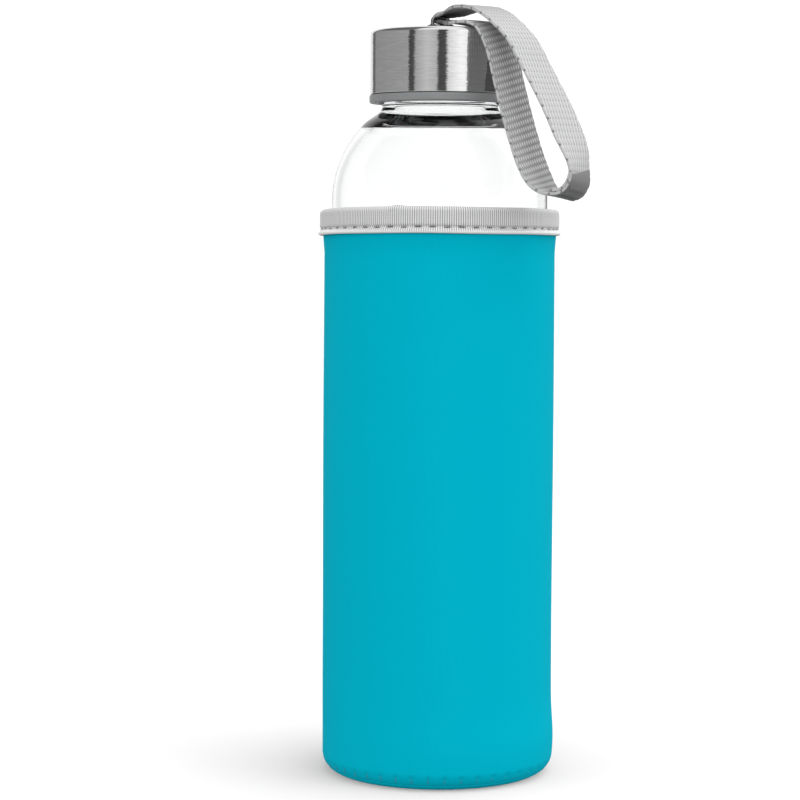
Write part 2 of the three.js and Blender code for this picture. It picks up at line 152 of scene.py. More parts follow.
def grid_faces(rows, columns, wrap_rows=False, wrap_columns=False):
    """Quads of a grid of rows x columns points, closed on itself where asked."""
    i = np.arange(rows if wrap_rows else rows - 1)
    j = np.arange(columns if wrap_columns else columns - 1)
    row, column = np.meshgrid(i, j, indexing="ij")
    next_row, next_column = (row + 1) % rows, (column + 1) % columns
    corners = [(row, column), (row, next_column), (next_row, next_column), (next_row, column)]
    return np.stack([a * columns + b for a, b in corners], -1).reshape(-1, 4).tolist()


def revolve(name, profile, segments, material, shape=None, closed=False):
    """Turns (r, z) points about Z. shape(r, z, angle) may move every point of the grid."""
    points = np.array(profile, float)
    angle = np.arange(segments) * TAU / segments
    r = np.repeat(points[:, :1], segments, 1)
    z = np.repeat(points[:, 1:], segments, 1)
    angle = np.repeat(angle[None, :], len(points), 0)
    if shape:
        r, z = shape(r, z, angle)
    vertices = np.stack([r * np.cos(angle), r * np.sin(angle), z], -1).reshape(-1, 3)
    faces = grid_faces(len(points), segments, wrap_rows=closed, wrap_columns=True)
    made = mesh_object(name, vertices, faces, material)
    face_outwards(made, merge=True)
    return made


def face_outwards(made, merge=False):
    """Turns all faces outwards, after merging points that coincide where asked."""
    work = bmesh.new()
    work.from_mesh(made.data)
    if merge:
        bmesh.ops.remove_doubles(work, verts=work.verts, dist=1e-7)
    bmesh.ops.recalc_face_normals(work, faces=work.faces)
    work.to_mesh(made.data)
    work.free()


TUBE_END = 0.45  # the radius of a tube's two end rings, as a share of the tube's


def tube_geometry(path, radius, sides, closed):
    """Vertices and faces of a round tube along points in millimetres, with narrowed ends."""
    path = np.asarray(path, float)
    if closed:
        tangents = np.roll(path, -1, 0) - np.roll(path, 1, 0)
    else:
        tangents = np.gradient(path, axis=0)
    tangents /= np.linalg.norm(tangents, axis=1)[:, None]
    askew = [0.13, 0.21, 0.97]  # a direction that few paths take
    normal = np.cross(tangents[0], askew)
    if np.linalg.norm(normal) < 0.1:
        normal = np.cross(tangents[0], [1, 0, 0])
    rings = []
    radii = np.full(len(path), radius, float)
    if not closed:
        radii[[0, -1]] *= TUBE_END
    for point, tangent, size in zip(path, tangents, radii):
        normal = normal - tangent * np.dot(normal, tangent)
        normal /= np.linalg.norm(normal)
        side = np.cross(tangent, normal)
        turn = np.arange(sides) * TAU / sides
        rings.append(point + size * (np.cos(turn)[:, None] * normal + np.sin(turn)[:, None] * side))
    vertices = np.concatenate(rings)
    faces = grid_faces(len(path), sides, wrap_rows=closed, wrap_columns=True)
    if not closed:
        faces += [list(range(sides))[::-1], list(range(len(vertices) - sides, len(vertices)))]
    return vertices, faces


def tubes(name, paths, radius, material, sides=8, closed=False):
    """One object that holds a tube along each path."""
    vertices, faces, count = [], [], 0
    for path in paths:
        points, quads = tube_geometry(path, radius, sides, closed)
        vertices.append(points)
        faces += [[index + count for index in face] for face in quads]
        count += len(points)
    made = mesh_object(name, np.concatenate(vertices), faces, material)
    face_outwards(made)
    return made


def ripple(angle, seed, *waves):
    """A smooth wandering around the axis: (cycles, amplitude) pairs with fixed phases."""
    total = np.zeros_like(angle)
    for k, (cycles, amplitude) in enumerate(waves):
        total += amplitude * np.sin(cycles * angle + seed * 1.7 + k * 2.3)
    return total


def smoothstep(value, low, high):
    """A soft step from 0 at low to 1 at high."""
    t = np.clip((value - low) / (high - low), 0, 1)
    return t * t * (3 - 2 * t)


def bell(value, width):
    """1 at zero, and about a third at the width."""
    return np.exp(-((value / width) ** 2))


# ---------------------------------------- material helpers


class Nodes:
    """A node tree, with short names for what the surfaces and the world need."""

    def __init__(self, tree):
        self.tree = tree

    def add(self, kind, inputs=None, **settings):
        node = self.tree.nodes.new("ShaderNode" + kind)
        for key, value in settings.items():
            setattr(node, key, value)
        for key, value in (inputs or {}).items():
            self.feed(node.inputs[key], value)
        return node

    def feed(self, socket, value):
        if isinstance(value, bpy.types.NodeSocket):
            self.tree.links.new(value, socket)
        else:
            socket.default_value = value

    def math(self, operation, a, b=0.0, clamp=False):
        return self.add("Math", {0: a, 1: b}, operation=operation, use_clamp=clamp).outputs[0]

    def vector_math(self, operation, inputs):
        return self.add("VectorMath", inputs, operation=operation).outputs[0]

    def split(self, vector):
        """The three parts of a vector."""
        return self.add("SeparateXYZ", {0: vector}).outputs

    def join(self, x, y, z=0.0):
        return self.add("CombineXYZ", {0: x, 1: y, 2: z}).outputs[0]

    def noise(self, vector, scale, detail=2.0, roughness=0.5):
        inputs = {"Vector": vector, "Scale": scale, "Detail": detail, "Roughness": roughness}
        return self.add("TexNoise", inputs).outputs["Fac"]

    def mix(self, factor, a, b):
        inputs = {"Factor": factor, "A": a, "B": b}
        return self.add("Mix", inputs, data_type="RGBA").outputs["Result"]

    def spread(self, value, low, high, to_low=0.0, to_high=1.0):
        inputs = {"Value": value, "From Min": low, "From Max": high, "To Min": to_low, "To Max": to_high}
        return self.add("MapRange", inputs).outputs["Result"]


class Surface(Nodes):
    """A new material. Its shader's sockets are set by name, with _ in place of a space."""

    def __init__(self, name, **sockets):
        self.material = bpy.data.materials.new(name)
        self.material.use_nodes = True
        super().__init__(self.material.node_tree)
        self.shader = self.tree.nodes["Principled BSDF"]
        for socket, value in sockets.items():
            self.set(socket.replace("_", " "), value)
        self.coordinates = self.add("TexCoord").outputs["Object"]

    def set(self, socket, value):
        self.feed(self.shader.inputs[socket], value)

    def bump(self, height, distance, strength=1.0):
        inputs = {"Height": height, "Distance": distance, "Strength": strength}
        self.set("Normal", self.add("Bump", inputs).outputs["Normal"])


def rgb(red, green, blue):
    return (red, green, blue, 1.0)


def grey(tone):
    return rgb(tone, tone, tone)


# ---------------------------------------- materials

RIB_COUNT = 336
SCRATCH_TILT = 0.09


def glass_material():
    n = Surface(
        "clear_glass",
        Base_Color=rgb(0.998, 1.0, 0.999),
        Roughness=0.0,
        IOR=1.45,
        Transmission_Weight=1.0,
        Specular_IOR_Level=0.3,
    )
    n.bump(n.noise(n.coordinates, 55.0), 0.00015, 0.35)
    absorb = n.add("VolumeAbsorption", {"Color": rgb(0.55, 0.74, 0.72), "Density": 5.0})
    n.feed(n.tree.nodes["Material Output"].inputs["Volume"], absorb.outputs[0])
    return n.material


def brushed_steel(name, tone, roughness, lines):
    """Steel brushed round the Z axis. lines is how fine the brushing is."""
    n = Surface(name, Metallic=1.0, Anisotropic=0.9, Anisotropic_Rotation=0.25)
    x, y, z = n.split(n.coordinates)
    radius = n.math("SQRT", n.math("ADD", n.math("MULTIPLY", x, x), n.math("MULTIPLY", y, y)))
    angle = n.math("ARCTAN2", y, x)

    def stretched(metres_per_radian):
        """Coordinates that draw noise out into streaks round the axis."""
        return n.join(n.math("MULTIPLY", angle, metres_per_radian), radius, z)

    streaks = stretched(0.0011)
    fine = n.math("MULTIPLY", n.noise(streaks, lines, 3.0, 0.65), 0.86)
    broad = n.math("MULTIPLY", n.noise(streaks, lines * 0.25), 0.14)
    grain = n.math("ADD", fine, broad)
    n.set("Base Color", n.mix(n.spread(grain, 0.3, 0.7), grey(tone * 0.88), grey(tone * 1.1)))
    n.set("Roughness", n.spread(grain, 0.3, 0.7, roughness * 0.85, roughness * 1.2))
    n.set("Tangent", n.add("Tangent", direction_type="RADIAL", axis="Z").outputs[0])
    # short scratches tilt the surface sideways too, which frays the edges of what it mirrors
    scratch = n.math("SUBTRACT", n.noise(stretched(0.0045), lines, 2.0, 0.6), 0.5)
    sideways = n.join(n.math("DIVIDE", y, radius), n.math("DIVIDE", x, n.math("MULTIPLY", radius, -1.0)))
    lean = n.vector_math("SCALE", {0: sideways, "Scale": n.math("MULTIPLY", scratch, SCRATCH_TILT)})
    bump = n.add("Bump", {"Height": grain, "Distance": 0.000006, "Strength": 0.35})
    tilted = n.vector_math("ADD", {0: bump.outputs[0], 1: lean})
    n.set("Normal", n.vector_math("NORMALIZE", {0: tilted}))
    return n.material


def moulded_plastic():
    n = Surface("grey_plastic", IOR=1.49)
    blotch = n.noise(n.coordinates, 90.0)
    n.set("Base Color", n.mix(n.spread(blotch, 0.3, 0.7), rgb(0.235, 0.24, 0.245), rgb(0.29, 0.295, 0.30)))
    n.set("Roughness", n.spread(blotch, 0.3, 0.7, 0.36, 0.48))
    n.bump(n.noise(n.coordinates, 2600.0, 3.0), 0.00002, 0.4)
    return n.material


def silicone_material():
    n = Surface("white_silicone", IOR=1.41, Subsurface_Weight=0.25, Subsurface_Scale=0.002)
    cloud = n.noise(n.coordinates, 180.0, 3.0)
    n.set("Base Color", n.mix(cloud, rgb(0.74, 0.74, 0.71), rgb(0.84, 0.84, 0.82)))
    n.set("Roughness", n.spread(cloud, 0.3, 0.7, 0.55, 0.7))
    n.bump(n.noise(n.coordinates, 1500.0), 0.00002, 0.3)
    return n.material


def knit_material():
    """Turquoise knit that faces the foam: fine upright wales crossed by shorter courses."""
    n = Surface(
        "turquoise_knit",
        Roughness=0.86,
        IOR=1.4,
        Sheen_Weight=0.03,
        Sheen_Roughness=0.5,
        Sheen_Tint=rgb(0.0, 0.75, 0.95),
        Specular_IOR_Level=0.08,
        Specular_Tint=rgb(0.0, 0.7, 0.9),
    )
    x, y, z = n.split(n.coordinates)
    wale = n.math("SINE", n.math("MULTIPLY", n.math("ARCTAN2", y, x), 330.0))
    course = n.math("SINE", n.math("MULTIPLY", z, TAU / (0.75 * MM)))
    loops = n.math("MULTIPLY", n.math("ABSOLUTE", wale), n.spread(course, -1.0, 1.0, 0.72, 1.0))
    fuzz = n.noise(n.coordinates, 3200.0)
    drift = n.noise(n.coordinates, 38.0, 3.0)
    relief = n.math("ADD", n.math("MULTIPLY", loops, 0.7), n.math("MULTIPLY", fuzz, 0.3))
    base = n.mix(n.spread(relief, 0.15, 0.95), rgb(0.0003, 0.425, 0.57), rgb(0.0006, 0.51, 0.67))
    n.set("Base Color", n.mix(n.spread(drift, 0.35, 0.65, 0.0, 0.22), base, rgb(0.0004, 0.445, 0.595)))
    n.bump(relief, 0.00006, 0.5)
    return n.material


def tape_material():
    """Ribbed woven tape. The lip under the stitches is paler than the band."""
    n = Surface("binding_tape", Roughness=0.88, IOR=1.4, Sheen_Weight=0.15, Specular_IOR_Level=0.2)
    x, y, z = n.split(n.coordinates)
    rib = n.math("ABSOLUTE", n.math("SINE", n.math("MULTIPLY", n.math("ARCTAN2", y, x), RIB_COUNT / 2)))
    yarn = n.math("SINE", n.math("MULTIPLY", z, TAU / (0.55 * MM)))
    fuzz = n.noise(n.coordinates, 2600.0, 3.0)
    patch = n.noise(n.coordinates, 240.0)
    band = n.mix(n.spread(rib, 0.1, 0.9), rgb(0.22, 0.22, 0.225), rgb(0.80, 0.80, 0.805))
    band = n.mix(n.spread(patch, 0.35, 0.7, 0.0, 0.4), band, rgb(0.58, 0.58, 0.585))
    lip = n.mix(n.spread(rib, 0.05, 0.6), grey(0.74), grey(0.97))
    lip_share = n.spread(z, (STITCH_HEIGHT + 0.1) * MM, (STITCH_HEIGHT - 0.4) * MM)
    n.set("Base Color", n.mix(lip_share, band, lip))
    n.bump(n.math("ADD", n.math("MULTIPLY", fuzz, 0.6), n.spread(yarn, -1.0, 1.0, 0.0, 0.4)), 0.00010, 0.6)
    return n.material


def webbing_material():
    """Woven polyester: the mesh carries the floats, and a value on its points gives how light the yarn is,
    with painted shade and painted light multiplied in.
    """
    n = Surface("woven_webbing", Roughness=0.72, IOR=1.45, Sheen_Weight=0.2, Specular_IOR_Level=0.35)
    yarn_tone_with_painted_light = n.add("Attribute", attribute_name="yarn_tone_with_painted_light").outputs["Fac"]
    drift = n.noise(n.coordinates, 120.0)
    tone = n.mix(yarn_tone_with_painted_light, grey(0.0), rgb(1.0, 1.0, 1.01))
    n.set("Base Color", n.mix(n.spread(drift, 0.35, 0.7, 0.0, 0.10), tone, rgb(0.42, 0.42, 0.425)))
    n.bump(n.noise(n.coordinates, 4200.0), 0.00006, 0.5)
    return n.material


def thread_material(name, dark, light):
    """Twisted sewing thread."""
    n = Surface(name, Roughness=0.7, IOR=1.45, Sheen_Weight=0.2)
    x, y, z = n.split(n.coordinates)
    along = n.math("ADD", n.math("ADD", x, y), z)
    twist = n.spread(n.math("SINE", n.math("MULTIPLY", along, TAU / (0.35 * MM))), -1.0, 1.0)
    fuzz = n.noise(n.coordinates, 5200.0)
    n.set("Base Color", n.mix(twist, rgb(*dark), rgb(*light)))
    n.bump(n.math("ADD", twist, n.math("MULTIPLY", fuzz, 0.5)), 0.00005, 0.5)
    return n.material


glass = glass_material()
steel = brushed_steel("brushed_steel", 0.80, 0.09, 4600.0)
wire_steel = brushed_steel("wire_steel", 0.36, 0.24, 1500.0)
plastic = moulded_plastic()
silicone = silicone_material()
knit = knit_material()
tape = tape_material()
webbing = webbing_material()
# the rim stitches' thread: partly its own grey, and partly painted shade of the dimples it sinks into,
# which makes it darker
grey_thread = thread_material("grey_thread", (0.09, 0.09, 0.10), (0.20, 0.20, 0.21))
pale_thread = thread_material("pale_thread", (0.22, 0.22, 0.225), (0.32, 0.32, 0.325))
blue_thread = thread_material("blue_thread", (0.001, 0.20, 0.28), (0.002, 0.32, 0.43))


# ---------------------------------------- glass bottle


def thread_height(z, angle, foot, turns, half_width, fading):
    """How far a helical bead stands out, from 0 to 1. It fades out over a share of a turn at each end."""
    total = 0
    for whole in (0, 1, 2):
        along = angle / TAU + whole - THREAD_START
        fade = smoothstep(along, 0, fading) * smoothstep(turns - along, 0, fading)
        off_centre = (z - foot - THREAD_PITCH * along) / half_width
        total = total + fade * np.clip(1 - off_centre**2, 0, 1) ** 0.6
    return total


def glass_bottle():
    """Blown bottle: round shoulder, flared neck under a threaded finish, thick pushed-up base."""
    inner = GLASS_RADIUS - GLASS_WALL
    bore = FINISH_RADIUS - FINISH_WALL
    heel_centre = GLASS_BOTTOM + GLASS_HEEL
    shoulder_end = math.degrees(math.acos(NECK_RADIUS / GLASS_RADIUS))
    floor = GLASS_BOTTOM + GLASS_PUNT + GLASS_FLOOR
    inner_heel = GLASS_HEEL + GLASS_WALL
    fillet_end = bore + FILLET_REACH
    fillet_foot = SHOULDER_START + math.sqrt(inner**2 - fillet_end**2)
    thread_low = SHOULDER_TOP + 1.8
    lip = 0.9
    profile = [(0, GLASS_BOTTOM + GLASS_PUNT)]
    for share in np.arange(1, 9) / 9:
        profile.append((PUNT_RADIUS * share, GLASS_BOTTOM + GLASS_PUNT * (1 - share**2) ** 1.5))
    profile += arc(GLASS_RADIUS - GLASS_HEEL, heel_centre, GLASS_HEEL, -90, 0, 12)
    profile += line((GLASS_RADIUS, heel_centre), (GLASS_RADIUS, SHOULDER_START), 24)
    profile += arc(0, SHOULDER_START, GLASS_RADIUS, 0, shoulder_end - FLARE_ANGLE, 40)[1:]
    profile += smooth_line([(r + NECK_RADIUS, z + SHOULDER_TOP) for r, z in NECK_FLARE], 5)
    profile += line((FINISH_RADIUS, thread_low + 0.15), (FINISH_RADIUS, GLASS_TOP - lip), 46)
    profile += arc(FINISH_RADIUS - lip, GLASS_TOP - lip, lip, 8, 90, 7)
    profile += arc(bore + lip, GLASS_TOP - lip, lip, 90, 180, 7)
    profile += line((bore, GLASS_TOP - lip), (bore, fillet_foot + 6.2), 16)
    profile += smooth_line([(r + bore, z + fillet_foot) for r, z in NECK_FILLET], 5)
    profile += arc(0, SHOULDER_START, inner, math.degrees(math.acos(fillet_end / inner)), 0, 32)
    profile += line((inner, SHOULDER_START), (inner, floor + inner_heel), 20)
    profile += arc(inner - inner_heel, floor + inner_heel, inner_heel, 0, -90, 12)[1:]
    profile += line((inner - inner_heel, floor), (0, floor + 0.5), 8)
    uneven_points = 91  # the last ones: the inside, from the bore's flare on
    blown = np.arange(len(profile))[:, None] >= len(profile) - uneven_points

    def shape(r, z, angle):
        foot = THREAD_TOP - THREAD_PITCH * GLASS_TURNS
        bead = THREAD_BEAD * thread_height(z, angle, foot, GLASS_TURNS, THREAD_BEAD * 1.05, 0.09)
        r = r + np.where((r > FINISH_RADIUS - 0.3) & (z > thread_low), bead, 0)
        # the blown inside wanders a little, most of all under the neck
        wander = ripple(angle + z * 0.02, 1.0, (2, 0.10), (3, 0.07), (5, 0.03))
        neck_wander = ripple(angle, 2.0, (3, 0.08), (5, 0.06), (9, 0.03))
        rings = 0.04 * np.sin(z * 2.2 + ripple(angle, 0.5, (2, 0.7), (5, 0.3)))
        neck = bell(z - fillet_foot - 3, 1.6)
        return r + np.where(blown & (r > 2), wander * 0.6 + neck * (neck_wander + rings), 0), z

    return revolve("glass_body", profile, 192, glass, shape)


# ---------------------------------------- cap


def cap_shell():
    """Drawn steel cap with a rounded top edge and a hole for the eye's shank."""
    corner_r, corner_z = SHELL_RADIUS - SHELL_CORNER, CAP_TOP - SHELL_CORNER
    hole = 1.8
    edge = 0.12
    inner = SHELL_RADIUS - SHELL_WALL
    low = SHELL_BOTTOM + 1.5 * edge
    profile = arc(inner + edge, SHELL_BOTTOM + edge, edge, -180, -90, 4)
    profile += arc(SHELL_RADIUS - edge, SHELL_BOTTOM + edge, edge, -90, 0, 4)
    profile += [(SHELL_RADIUS, low)] + line((SHELL_RADIUS, low), (SHELL_RADIUS, corner_z), 24)
    profile += arc(corner_r, corner_z, SHELL_CORNER, 0, 90, 12)[1:]
    profile += line((corner_r, CAP_TOP), (hole + 0.1, CAP_TOP), 16)
    profile += [(hole, CAP_TOP - 0.1), (hole, CAP_TOP - SHELL_WALL)]
    profile += line((hole, CAP_TOP - SHELL_WALL), (corner_r, CAP_TOP - SHELL_WALL), 10)
    profile += arc(corner_r, corner_z, SHELL_CORNER - SHELL_WALL, 90, 0, 8)[1:]
    profile += line((inner, corner_z), (inner, SHELL_BOTTOM + SHELL_WALL), 8)
    return revolve("cap_steel", profile, 256, steel, closed=True)


def cap_insert():
    """Moulded insert: threaded skirt, top panel with the rivet's pocket, and the ring below the steel."""
    corner_r, corner_z = SHELL_RADIUS - SHELL_CORNER, CAP_TOP - SHELL_CORNER
    edge = 0.55
    foot = FLANGE_BOTTOM + edge
    small = 0.25
    profile = [(0, PANEL_BOTTOM)] + line((0, PANEL_BOTTOM), (INSERT_BORE - 0.6, PANEL_BOTTOM), 10)
    profile += line((INSERT_BORE, PANEL_BOTTOM - 0.1), (INSERT_BORE, FLANGE_BOTTOM + 0.3), 44)
    profile += arc(INSERT_BORE + 0.3, FLANGE_BOTTOM + 0.3, 0.3, 180, 270, 4)
    profile += arc(FLANGE_RADIUS - edge, foot, edge, -90, 0, 7)
    profile += line((FLANGE_RADIUS, foot), (FLANGE_RADIUS, FLANGE_TOP - small), 3)
    profile += arc(FLANGE_RADIUS - small, FLANGE_TOP - small, small, 0, 90, 4)
    profile += line((FLANGE_RADIUS - small, FLANGE_TOP), (INSERT_OUTER, FLANGE_TOP), 2)
    profile += line((INSERT_OUTER, FLANGE_TOP), (INSERT_OUTER, corner_z), 8)
    profile += arc(corner_r, corner_z, INSERT_TOP - corner_z, 0, 90, 6)
    profile += line((corner_r, INSERT_TOP), (POCKET_RADIUS, INSERT_TOP), 6)
    profile += [(POCKET_RADIUS, POCKET_FLOOR)]
    profile += line((POCKET_RADIUS, POCKET_FLOOR), (0, POCKET_FLOOR), 4)

    def shape(r, z, angle):
        # the thread runs in the gap between the turns of the bottle's own
        foot = THREAD_TOP + THREAD_PITCH * (0.5 - CAP_TURNS - 0.1)
        bead = THREAD_BEAD * thread_height(z, angle, foot, CAP_TURNS, THREAD_BEAD, 0.06)
        return r - np.where(np.abs(r - INSERT_BORE) < 0.05, bead, 0), z

    return revolve("cap_plastic", profile, 192, plastic, shape)


def ring_profile(inner, outer, low, high, edge, steps, below=()):
    """A rectangle's outline with rounded corners. below are points along its lower side."""
    profile = arc(inner + edge, low + edge, edge, 180, 270, steps) + list(below)
    profile += arc(outer - edge, low + edge, edge, -90, 0, steps)
    profile += arc(outer - edge, high - edge, edge, 0, 90, steps)
    return profile + arc(inner + edge, high - edge, edge, 90, 180, steps)


def gasket():
    """Sealing ring, with the groove that the bottle's lip has pressed into it."""
    outer, low, high = extent("seal_gasket")
    inner = FINISH_RADIUS - FINISH_WALL - 1.8
    edge = 0.3
    start, end, depth = 14.4, 16.8, 0.15
    groove = [(start + 0.5, low + depth), (end - 0.5, low + depth), (end, low)]
    below = line((inner + edge, low), (start, low), 2) + groove
    profile = ring_profile(inner, outer, low, high, edge, 4, below)
    return revolve("seal_ring", profile, 128, silicone, closed=True)


def washer():
    outer, low, high = extent("backing_washer")
    profile = ring_profile(1.8, outer, low, high, 0.1, 3)
    return revolve("rivet_washer", profile, 64, wire_steel, closed=True)


def eye_boss():
    """Turned boss on a shank whose end is clinched under the washer."""
    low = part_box("strap_eye")[0].z / MM
    clinch_top = low + 0.4
    shank = 1.5
    dimple = 2.4
    profile = [(0, low), (1.2, low), (2.3, low + 0.02), (2.6, low + 0.18), (2.5, clinch_top)]
    profile += [(shank + 0.1, clinch_top), (shank, clinch_top + 0.1)]
    profile += line((shank, clinch_top + 0.1), (shank, BOSS_BOTTOM), 4)
    profile += arc(BOSS_RADIUS - 0.2, BOSS_BOTTOM + 0.2, 0.2, -90, 0, 4)
    profile += arc(BOSS_RADIUS - 0.45, BOSS_TOP - 0.45, 0.45, 0, 90, 7)
    profile += line((BOSS_RADIUS - 0.45, BOSS_TOP), (dimple + 0.2, BOSS_TOP), 2)
    profile += [(dimple, BOSS_TOP - 0.12), (0, BOSS_TOP - 0.12)]
    return revolve("eye_boss", profile, 96, wire_steel)


def eye_bail():
    """Bent wire: two posts and the bar that carries the strap."""
    corner = 1.2
    bend = POST_PLACE - corner
    post = [(-POST_PLACE, z) for z in np.linspace(BOSS_TOP - 0.6, BAR_HEIGHT - corner, 5)]
    post += [(-y, z) for y, z in arc(bend, BAR_HEIGHT - corner, corner, 15, 90, 5)]
    bar = [(y, BAR_HEIGHT) for y in np.linspace(-bend + 0.4, bend - 0.4, 8)]
    path = [(0, y, z) for y, z in post + bar + [(-y, z) for y, z in post[::-1]]]
    return tubes("eye_bail", [path], BAR_RADIUS, wire_steel, sides=20)


def eye_welds():
    """The small collars where the bail's posts enter the boss."""
    reach = BAR_RADIUS + 0.07
    turn = np.arange(16) * TAU / 16
    height = BOSS_TOP + 0.02
    rings = [
        [(reach * math.cos(a), side * POST_PLACE + reach * math.sin(a), height) for a in turn]
        for side in (-1, 1)
    ]
    return tubes("eye_welds", rings, 0.16, wire_steel, closed=True)


# ---------------------------------------- strap

WEBBING_WIDTH = 12.0
WEBBING_THICKNESS = 1.0
PINCHED_WIDTH = 4.8
PINCH_LENGTH = 12.0
STRAP_OVERLAP = 17.0
OVERLAP_EASE = 7.0
OVERLAP_PRESS = 0.85  # how far the lapped end is pressed into the turn
WEAVE_ROW = 2.1  # length of one row of warp floats
LONG_PITCH = 1.15
SHORT_PITCH = 0.95
NOTCH_PITCH = 4.3
ROW_SKEW = 0.27
# offsets from the top of the cap at its rim, as in the CAD solid
LOWER_LEG = [
    (38, -40.1), (39, -44.1), (38.3, -47.6), (35.7, -50.0), (31.8, -50.7), (27.6, -49.8),
    (23.7, -47.0), (20.8, -42.8), (17.8, -37.4), (13.3, -27.0), (9.4, -16.5), (6.7, -8.7),
    (4, -3.5), (1.2, -0.2), (-2.7, 1.4), (-8.2, 2.0), (-15.2, 2.45),
]
UPPER_LEG = [
    (-15.2, 5.4), (-8.2, 5.9), (-2.2, 5.3), (3.8, 3.3), (9.8, -0.3), (14.9, -4.5), (20.4, -11.7),
    (25.9, -19.9), (31.2, -27.8), (35.6, -35.4),
]


def smooth_loop(points, per_span):
    """Closed centripetal Catmull-Rom curve through the points."""
    points = np.array(points, float)
    count = len(points)
    made = []
    for i in range(count):
        p0, p1, p2, p3 = (points[(i + k) % count] for k in (-1, 0, 1, 2))
        t0 = 0.0
        t1 = t0 + np.linalg.norm(p1 - p0) ** 0.5
        t2 = t1 + np.linalg.norm(p2 - p1) ** 0.5
        t3 = t2 + np.linalg.norm(p3 - p2) ** 0.5
        for t in np.linspace(t1, t2, per_span, endpoint=False):
            a1 = (t1 - t) / (t1 - t0) * p0 + (t - t0) / (t1 - t0) * p1
            a2 = (t2 - t) / (t2 - t1) * p1 + (t - t1) / (t2 - t1) * p2
            a3 = (t3 - t) / (t3 - t2) * p2 + (t - t2) / (t3 - t2) * p3
            b1 = (t2 - t) / (t2 - t0) * a1 + (t - t0) / (t2 - t0) * a2
            b2 = (t3 - t) / (t3 - t1) * a2 + (t - t1) / (t3 - t1) * a3
            made.append((t2 - t) / (t2 - t1) * b1 + (t - t1) / (t2 - t1) * b2)
    return np.array(made)


class Webbing:
    """The strap's middle line in the XZ plane, and every point of the band about it."""

    def __init__(self):
        fold = arc(0, BAR_HEIGHT, FOLD_RADIUS, -90, -270, 8)
        lower, upper = ([(SHELL_RADIUS + x, CAP_TOP + z) for x, z in leg] for leg in (LOWER_LEG, UPPER_LEG))
        loop = smooth_loop([*lower, *fold, *upper], 40)
        self.closed = np.vstack([loop, loop[:1]])
        steps = np.linalg.norm(np.diff(self.closed, axis=0), axis=1)
        self.run = np.concatenate([[0], np.cumsum(steps)])
        self.loop_length = self.run[-1]
        to_fold = np.hypot(loop[:, 0] + FOLD_RADIUS, loop[:, 1] - BAR_HEIGHT)
        self.fold = self.run[np.argmin(to_fold)]
        self.length = self.loop_length + STRAP_OVERLAP

    def at(self, along):
        """Points (x, z) of the closed middle line."""
        wrapped = np.mod(along, self.loop_length)
        return np.stack([np.interp(wrapped, self.run, self.closed[:, i]) for i in (0, 1)], -1)

    def middle(self, along):
        """Points (x, z) of the band's middle, and the unit normal that points out of the loop."""
        lap = self.loop_length
        wrapped = np.mod(along, lap)
        step = 0.05
        tangent = self.at(wrapped + step) - self.at(wrapped - step)
        tangent /= np.linalg.norm(tangent, axis=-1, keepdims=True)
        outward = np.stack([-tangent[..., 1], tangent[..., 0]], -1)
        # the band starts pressed into the lower turn, and its other end passes under that start
        pressed = -OVERLAP_PRESS * (1 - smoothstep(wrapped, 8, 15)) * (wrapped < 20)
        under = smoothstep(along, lap - OVERLAP_EASE, lap + OVERLAP_EASE)
        bulge = 0.7 * smoothstep(along, lap - 36, lap - 18) * (1 - under)
        arch = 0.45 * bell(along - self.fold - 20, 9.0)
        tucked = under * (np.where(along > lap, pressed, -OVERLAP_PRESS) - WEBBING_THICKNESS - 0.06)
        shift = np.where(along < 20, pressed, bulge + arch)
        shift = np.where(along < lap - OVERLAP_EASE, shift, bulge + tucked)
        return self.at(wrapped) + outward * shift[..., None], outward

    def place(self, along, across, proud):
        """Points in space: across runs from -1 to 1 over the width, proud is out of the loop."""
        middle, outward = self.middle(along)
        x, z = middle[..., 0], middle[..., 1]
        spread = smoothstep(x, -1.0, PINCH_LENGTH)
        half = (PINCHED_WIDTH + (WEBBING_WIDTH - PINCHED_WIDTH) * spread) / 2
        near_fold = 1 - smoothstep(x, 1.5, 14.0)
        over = smoothstep(z, BAR_HEIGHT - 1.0, BAR_HEIGHT + 1.0)
        droop = smoothstep(x, 2.0, 9.0) * (1 - smoothstep(x, 8.0, 17.0)) * (1 - over)
        curl = (near_fold * (0.15 + 0.95 * over) - droop) * across**2
        # at the lower turn the near edge hangs further out and higher than the far one
        turn = smoothstep(CAP_TOP - 32.0 - z, 0, 12.0) * smoothstep(x, 40.0, 56.0)
        lifted = turn * smoothstep(CAP_TOP - 40.0 - z, 0, 8.0)
        near, far = np.clip(0.5 - across / 2, 0, 1), np.clip(0.5 + across / 2, 0, 1)
        lean = 0.4 * bell(along - self.fold - 22, 12.0) * across
        half = half - 0.5 * turn * near
        px = x + outward[..., 0] * (proud - curl) + turn * (3.4 * near - 0.6 * far) + lean
        pz = z + outward[..., 1] * (proud - curl) + lifted * 1.6 * near
        return np.stack([px, across * half, pz], -1)


strap_line = Webbing()


def weave_relief(along, across_mm):
    """Heights from 0 to 1 of the floats: the long ones of the outer face, the short of the inner."""
    row = along / WEAVE_ROW
    place = np.mod(row, 1.0)
    shift = 0.31 * np.floor(row)
    strand = np.abs(np.cos(math.pi * (across_mm / LONG_PITCH + shift)))
    short_strand = np.abs(np.cos(math.pi * (across_mm / SHORT_PITCH + shift)))
    seam = bell(np.minimum(place, 1 - place), 0.12)
    outer = 1 - (1 - strand) * (0.55 + 0.45 * place**2) - 0.10 * seam
    inner = short_strand**2 * np.sin(math.pi * place) ** 1.5
    return np.clip(outer, 0, 1), inner


